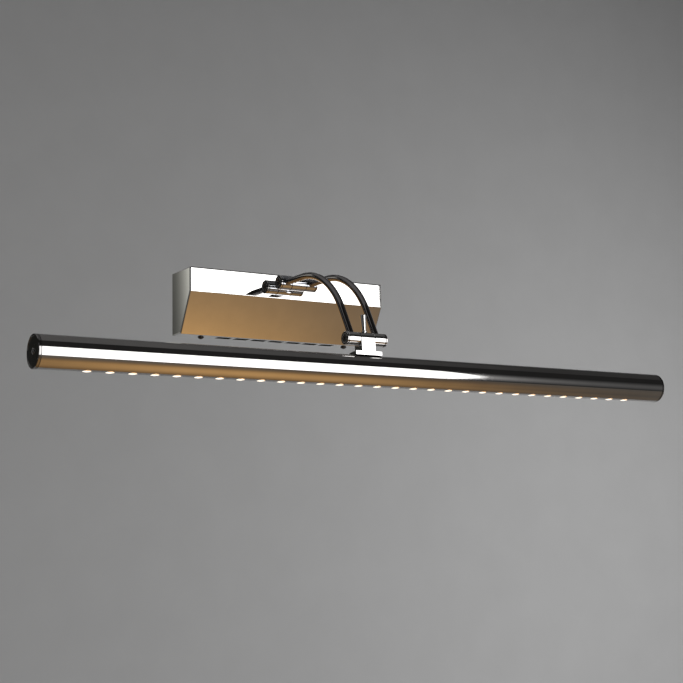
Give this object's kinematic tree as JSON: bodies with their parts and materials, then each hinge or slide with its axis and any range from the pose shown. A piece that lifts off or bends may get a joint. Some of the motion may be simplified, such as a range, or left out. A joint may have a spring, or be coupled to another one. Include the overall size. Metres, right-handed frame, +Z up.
{
  "type": "picture light",
  "caption": "Wall picture light: folded plated wall box, two arched tube arms on a turning barrel, and a long LED tube on a T bracket with a locking pin.",
  "frame": {"origin": "centre of the wall plate's back face, on the wall", "axes": "+X along the lamp tube, +Y into the wall, +Z up; the light stands out from the wall towards -Y"},
  "size_m": [0.6122, 0.1747, 0.1156],
  "materials": {
    "box_chrome": "mirror-bright nickel-chrome plate on folded steel sheet",
    "tube_chrome": "mirror-bright chrome plate with very fine drawing lines along the tube",
    "arm_chrome": "bright plate over bent round tube",
    "barrel_chrome": "bright plate over turned and milled parts",
    "plate_steel": "zinc-plated steel",
    "screw_steel": "nickel-plated steel",
    "screw_black": "blackened steel",
    "terminal_brass": "turned brass",
    "grommet_rubber": "black moulded rubber",
    "washer_nylon": "black nylon",
    "driver_case": "white fine-textured moulding",
    "terminal_plastic": "natural polyamide",
    "lead_jacket": "smooth PVC",
    "earth_jacket": "green and yellow PVC",
    "rail_aluminium": "extruded, plain",
    "board_white": "white solder mask on aluminium",
    "led_phosphor": "yellow phosphor",
    "lens_clear": "frosted clear dome, lit from inside"
  },
  "bodies": {
    "wall_box": {"cable_grommet": "grommet_rubber", "cover": "box_chrome", "cover_screws": "screw_black", "driver_screws": "screw_steel", "earth_lead": "earth_jacket", "earth_screw": "screw_steel", "earth_tag": "screw_steel", "led_driver": "driver_case", "mains_leads": "lead_jacket", "output_lead": "lead_jacket", "post_nut": "screw_steel", "post_washer": "screw_steel", "stiffener_plate": "plate_steel", "terminal_block": "terminal_plastic", "terminal_fixing_screw": "screw_steel", "terminal_screws": "terminal_brass", "wall_hub": "barrel_chrome", "wall_plate": "plate_steel"},
    "arms": {"arm_left": "arm_chrome", "arm_right": "arm_chrome", "wall_sleeve_left": "barrel_chrome", "wall_sleeve_right": "barrel_chrome", "front_sleeve_left": "barrel_chrome", "front_sleeve_right": "barrel_chrome", "wall_axle": "plate_steel", "front_axle": "plate_steel", "wall_end_screws": "barrel_chrome", "front_end_screws": "barrel_chrome", "wall_friction_washers": "washer_nylon", "front_friction_washers": "washer_nylon", "arm_leads": "lead_jacket"},
    "lamp_head": {"lamp_bracket": "barrel_chrome", "bracket_screws": "screw_steel", "lamp_tube": "tube_chrome", "end_cap_left": "tube_chrome", "end_cap_right": "tube_chrome", "end_cap_screws": "screw_steel", "carrier_rail": "rail_aluminium", "led_board": "board_white", "board_screws": "screw_steel", "led_chips": "led_phosphor", "led_lenses": "lens_clear", "head_lead": "lead_jacket"},
    "lock": {"locking_pin": "barrel_chrome"}
  },
  "joints": [
    {"name": "arm_swing", "type": "hinge", "parent": "wall_box", "child": "arms", "pos_m": [0, -0.0485, 0.0188], "axis": [1, 0, 0], "range_deg": [-45, 50]},
    {"name": "head_tilt", "type": "hinge", "parent": "arms", "child": "lamp_head", "pos_m": [0, -0.15931, -0.04671], "axis": [1, 0, 0], "range_deg": [-45, 80]},
    {"name": "locking_pin_turn", "type": "hinge", "parent": "lamp_head", "child": "lock", "pos_m": [0, -0.15931, -0.04671], "axis": [0, 0.0872, 0.9962], "range_deg": [-180, 180]}
  ]
}
